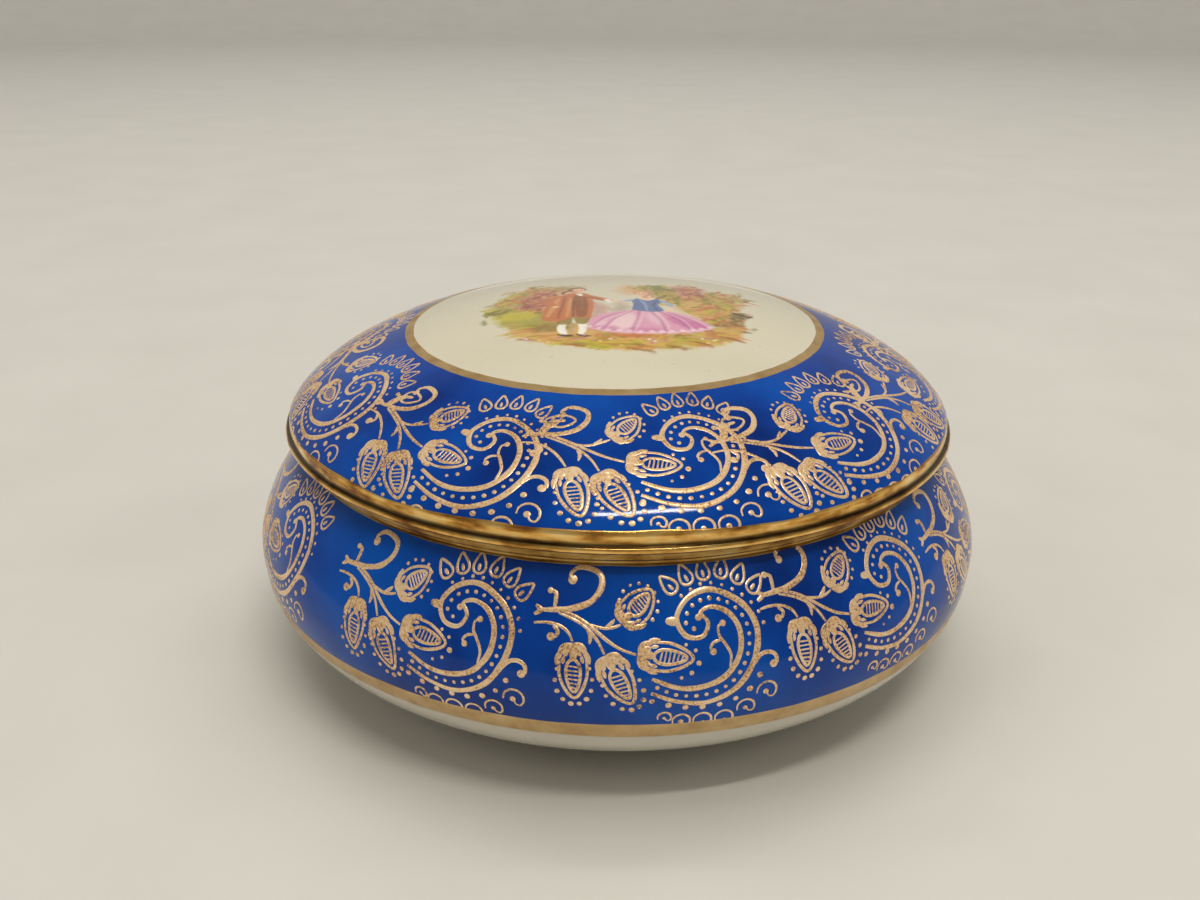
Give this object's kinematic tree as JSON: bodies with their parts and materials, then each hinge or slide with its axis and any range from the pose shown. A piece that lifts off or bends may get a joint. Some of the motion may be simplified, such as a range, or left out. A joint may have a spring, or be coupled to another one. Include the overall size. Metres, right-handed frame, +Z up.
{
  "type": "trinket box",
  "caption": "Round porcelain trinket box: squat bellied bowl on a foot ring with a domed lift-off lid, blue bands between gilt edges and a picture on the lid; holds small jewellery.",
  "frame": {"origin": "centre of the foot ring's flat face, on the table", "axes": "+Z up along the axis of revolution; the front of the painted scene faces -Y"},
  "size_m": [0.11, 0.11, 0.0532],
  "materials": {
    "porcelain": "clear glaze over off-white porcelain",
    "cobalt_enamel": "glossy cobalt blue enamel",
    "gilding": "brushed-on fired gold, worn antique tone",
    "painted_scene": "painted scene on cream ground under clear glaze"
  },
  "bodies": {
    "base": {"base_bowl": "porcelain", "base_cobalt_ground": "cobalt_enamel", "base_rim_gilding": "gilding", "base_lower_gilding": "gilding"},
    "lid": {"lid_shell": "porcelain", "lid_cobalt_ground": "cobalt_enamel", "lid_edge_gilding": "gilding", "lid_medallion_line": "gilding", "lid_medallion_picture": "painted_scene"}
  },
  "joints": [
    {"name": "lid_lift", "type": "slide", "parent": "base", "child": "lid", "axis": [0, 0, 1], "range_m": [0, 0.06]}
  ]
}
